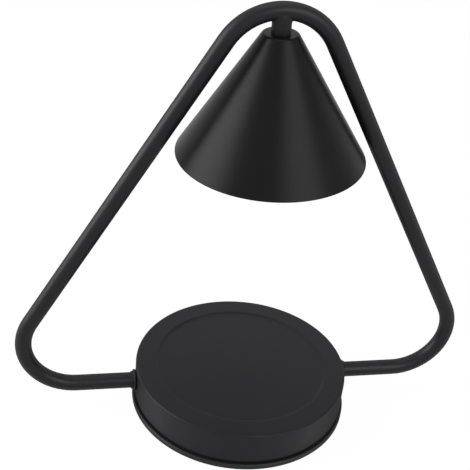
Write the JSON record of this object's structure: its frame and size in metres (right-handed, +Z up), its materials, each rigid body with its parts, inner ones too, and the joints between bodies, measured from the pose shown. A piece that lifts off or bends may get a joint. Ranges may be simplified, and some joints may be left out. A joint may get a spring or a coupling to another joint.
{
  "type": "candle warmer lamp",
  "caption": "Table lamp that warms a candle from above: round base, bent tube frame in a triangle, cone shade with a downward bulb.",
  "frame": {"origin": "centre of the foot, on the surface that the lamp stands on", "axes": "+X along the plane of the triangular frame, +Y towards the back, where the cord enters, +Z up"},
  "size_m": [0.2872, 0.14, 0.2718],
  "materials": {
    "base_paint": "satin black powder coat",
    "frame_paint": "satin black powder coat",
    "collar_paint": "satin black paint",
    "shade_paint": "fine matt black powder coat on spun aluminium",
    "plate_plastic": "moulded black, fine grain",
    "pad_rubber": "dark grey foam rubber",
    "bushing_plastic": "moulded black",
    "terminal_plastic": "natural nylon",
    "lead_silicone": "white silicone sheath",
    "zinc_steel": "zinc plated",
    "contact_brass": "plain brass",
    "holder_ceramic": "unglazed steatite ceramic",
    "pin_nickel": "nickel plated",
    "reflector_coating": "bright vapour-coated glass",
    "bulb_glass": "clear"
  },
  "bodies": {
    "lamp": {"base_cover": "base_paint", "base_plate": "plate_plastic", "foot_pad": "pad_rubber", "cover_standoffs": "zinc_steel", "plate_screws": "zinc_steel", "tube_collar_left": "collar_paint", "tube_collar_right": "collar_paint", "frame_washer_left": "zinc_steel", "frame_washer_right": "zinc_steel", "frame_nut_left": "zinc_steel", "frame_nut_right": "zinc_steel", "cord_bushing": "bushing_plastic", "cord_clamp": "bushing_plastic", "clamp_screws": "zinc_steel", "terminal_block": "terminal_plastic", "terminal_screws": "contact_brass", "terminal_mount_screw": "zinc_steel", "frame_tube": "frame_paint", "lead_bush": "bushing_plastic", "inner_lead": "lead_silicone", "stem": "frame_paint", "nipple": "zinc_steel", "nipple_washer": "zinc_steel", "nipple_nut": "zinc_steel", "shade": "shade_paint", "holder_bracket": "zinc_steel", "holder_screws": "zinc_steel", "lamp_holder": "holder_ceramic", "holder_contacts": "contact_brass"},
    "bulb": {"bulb_cap": "holder_ceramic", "bulb_pins": "pin_nickel", "bulb_reflector": "reflector_coating", "bulb_front_glass": "bulb_glass", "bulb_capsule": "bulb_glass"}
  },
  "joints": [
    {"name": "bulb_twist", "type": "hinge", "parent": "lamp", "child": "bulb", "pos_m": [0.00013, 0, 0.22858], "axis": [-0.0366, 0, 0.9993], "range_deg": [-25, 0]}
  ]
}
